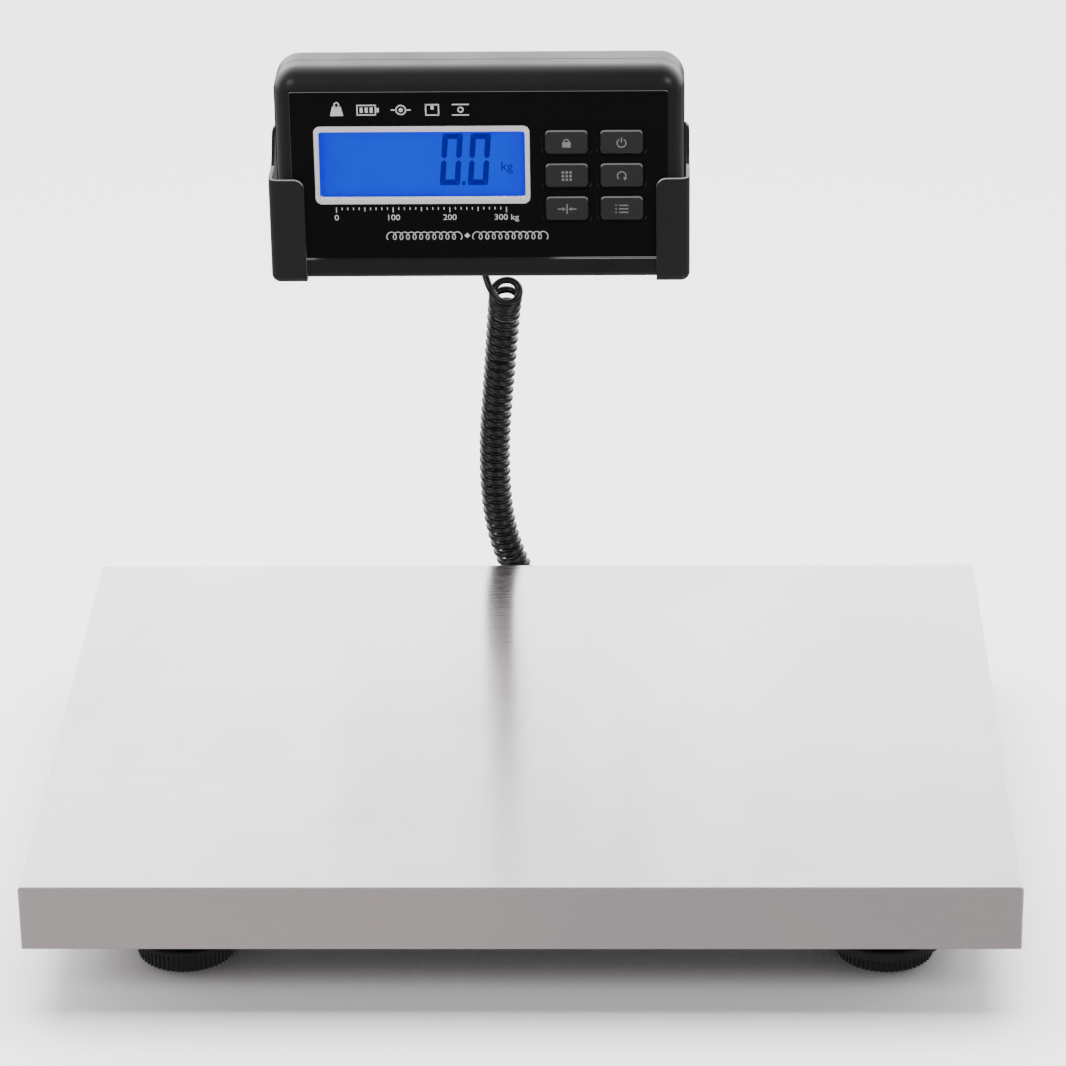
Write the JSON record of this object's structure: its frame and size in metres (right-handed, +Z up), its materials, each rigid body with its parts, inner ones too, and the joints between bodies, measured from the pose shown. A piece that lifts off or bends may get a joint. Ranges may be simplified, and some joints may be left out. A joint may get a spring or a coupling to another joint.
{
  "type": "platform shipping scale",
  "caption": "Low platform shipping scale with a folded steel tray, load cell base on screw feet, and a wall-held indicator on a curly cord.",
  "frame": {"origin": "middle of the whole footprint, tray and wall bracket together, on the floor under the foot soles", "axes": "+X along the tray's width to the user's right, +Y away from the user towards the wall, +Z up"},
  "size_m": [0.4, 0.3234, 0.3],
  "materials": {
    "stainless_brushed": "fine brushed, satin",
    "black_rubber": "matt",
    "grey_paint": "textured powder coat",
    "aluminium_plate": "milled",
    "zinc_steel": "bright zinc",
    "cell_aluminium": "milled and anodised",
    "white_seal": "potting compound",
    "black_cord": "satin PVC",
    "nylon_clip": "natural nylon",
    "black_powder_coat": "satin powder coat",
    "black_case": "fine satin texture",
    "gloss_panel": "mirror gloss",
    "display_grey": "satin print",
    "clear_window": "clear",
    "blue_lcd": "backlit blue",
    "blue_backlight": "diffuser",
    "circuit_board": "solder mask",
    "silicone_mat": "silicone",
    "switch_plastic": "moulded",
    "cell_wrap": "shrink wrap",
    "foot_plastic": "moulded nylon",
    "key_plastic": "satin"
  },
  "bodies": {
    "base": {"base_frame": "grey_paint", "load_cell": "cell_aluminium", "gauge_seal": "white_seal", "lower_spacer": "aluminium_plate", "lower_cell_bolts": "zinc_steel", "overload_stop_screws": "zinc_steel", "overload_stop_nuts": "zinc_steel", "foot_weld_nuts": "zinc_steel", "cell_cable": "black_cord", "cell_cable_clip": "nylon_clip", "base_gland": "black_rubber", "wall_bracket": "black_powder_coat", "cord_lead_upper": "black_cord", "cord_coil": "black_cord", "cord_lead_lower": "black_cord"},
    "weigh_frame": {"top_frame": "grey_paint", "upper_spacer": "aluminium_plate", "upper_cell_bolts": "zinc_steel", "platter_cushions": "black_rubber"},
    "platter": {"platter": "stainless_brushed"},
    "indicator": {"front_shell": "black_case", "rear_shell": "black_case", "front_overlay": "gloss_panel", "display_frame": "display_grey", "display_window": "clear_window", "lcd_glass": "blue_lcd", "backlight_panel": "blue_backlight", "main_board": "circuit_board", "board_screws": "zinc_steel", "key_mat": "silicone_mat", "key_switches": "switch_plastic", "buzzer": "switch_plastic", "batteries": "cell_wrap", "battery_contacts": "zinc_steel", "case_screws": "zinc_steel", "dc_jack": "switch_plastic", "indicator_gland": "black_rubber"},
    "battery_door": {"battery_door": "black_case"},
    "foot_1_stud": {"foot_stud_1": "zinc_steel", "foot_collar_1": "foot_plastic"},
    "foot_1_disc": {"foot_disc_1": "foot_plastic", "foot_sole_1": "black_rubber"},
    "foot_2_stud": {"foot_stud_2": "zinc_steel", "foot_collar_2": "foot_plastic"},
    "foot_2_disc": {"foot_disc_2": "foot_plastic", "foot_sole_2": "black_rubber"},
    "foot_3_stud": {"foot_stud_3": "zinc_steel", "foot_collar_3": "foot_plastic"},
    "foot_3_disc": {"foot_disc_3": "foot_plastic", "foot_sole_3": "black_rubber"},
    "foot_4_stud": {"foot_stud_4": "zinc_steel", "foot_collar_4": "foot_plastic"},
    "foot_4_disc": {"foot_disc_4": "foot_plastic", "foot_sole_4": "black_rubber"},
    "hold_key": {"key_hold": "key_plastic"},
    "power_key": {"key_power": "key_plastic"},
    "count_key": {"key_count": "key_plastic"},
    "clear_key": {"key_clear": "key_plastic"},
    "tare_key": {"key_tare": "key_plastic"},
    "mode_key": {"key_mode": "key_plastic"}
  },
  "joints": [
    {"name": "weigh_travel", "type": "slide", "parent": "base", "child": "weigh_frame", "axis": [0, 0, 1], "range_m": [-0.0008, 0], "stiffness_N_per_m": 200000, "springref_m": 0.00017, "deforming": ["load_cell"]},
    {"name": "platter_lift", "type": "slide", "parent": "weigh_frame", "child": "platter", "axis": [0, 0, 1], "range_m": [0, 0.045]},
    {"name": "indicator_lift", "type": "slide", "parent": "base", "child": "indicator", "axis": [0, 0, 1], "range_m": [0, 0.065]},
    {"name": "battery_door_slide", "type": "slide", "parent": "indicator", "child": "battery_door", "axis": [0, 0, 1], "range_m": [-0.034, 0]},
    {"name": "foot_1_travel", "type": "slide", "parent": "base", "child": "foot_1_stud", "axis": [0, 0, 1], "range_m": [-0.0045, 0.001]},
    {"name": "foot_1_turn", "type": "hinge", "parent": "foot_1_stud", "child": "foot_1_disc", "pos_m": [-0.1396, -0.1097, 0], "axis": [0, 0, 1], "range_deg": [-1082, 242]},
    {"name": "foot_2_travel", "type": "slide", "parent": "base", "child": "foot_2_stud", "axis": [0, 0, 1], "range_m": [-0.0045, 0.001]},
    {"name": "foot_2_turn", "type": "hinge", "parent": "foot_2_stud", "child": "foot_2_disc", "pos_m": [0.1484, -0.1097, 0], "axis": [0, 0, 1], "range_deg": [-1082, 242]},
    {"name": "foot_3_travel", "type": "slide", "parent": "base", "child": "foot_3_stud", "axis": [0, 0, 1], "range_m": [-0.0045, 0.001]},
    {"name": "foot_3_turn", "type": "hinge", "parent": "foot_3_stud", "child": "foot_3_disc", "pos_m": [-0.1396, 0.0863, 0], "axis": [0, 0, 1], "range_deg": [-1082, 242]},
    {"name": "foot_4_travel", "type": "slide", "parent": "base", "child": "foot_4_stud", "axis": [0, 0, 1], "range_m": [-0.0045, 0.001]},
    {"name": "foot_4_turn", "type": "hinge", "parent": "foot_4_stud", "child": "foot_4_disc", "pos_m": [0.1484, 0.0863, 0], "axis": [0, 0, 1], "range_deg": [-1082, 242]},
    {"name": "hold_key_press", "type": "slide", "parent": "indicator", "child": "hold_key", "axis": [0, 1, 0], "range_m": [0, 0.001], "stiffness_N_per_m": 600, "springref_m": -0.0004},
    {"name": "power_key_press", "type": "slide", "parent": "indicator", "child": "power_key", "axis": [0, 1, 0], "range_m": [0, 0.001], "stiffness_N_per_m": 600, "springref_m": -0.0004},
    {"name": "count_key_press", "type": "slide", "parent": "indicator", "child": "count_key", "axis": [0, 1, 0], "range_m": [0, 0.001], "stiffness_N_per_m": 600, "springref_m": -0.0004},
    {"name": "clear_key_press", "type": "slide", "parent": "indicator", "child": "clear_key", "axis": [0, 1, 0], "range_m": [0, 0.001], "stiffness_N_per_m": 600, "springref_m": -0.0004},
    {"name": "tare_key_press", "type": "slide", "parent": "indicator", "child": "tare_key", "axis": [0, 1, 0], "range_m": [0, 0.001], "stiffness_N_per_m": 600, "springref_m": -0.0004},
    {"name": "mode_key_press", "type": "slide", "parent": "indicator", "child": "mode_key", "axis": [0, 1, 0], "range_m": [0, 0.001], "stiffness_N_per_m": 600, "springref_m": -0.0004}
  ],
  "couplings": [
    {"joint": "foot_1_turn", "follows": "foot_1_travel", "rad_per_m": 4188.8},
    {"joint": "foot_2_turn", "follows": "foot_2_travel", "rad_per_m": 4188.8},
    {"joint": "foot_3_turn", "follows": "foot_3_travel", "rad_per_m": 4188.8},
    {"joint": "foot_4_turn", "follows": "foot_4_travel", "rad_per_m": 4188.8}
  ]
}
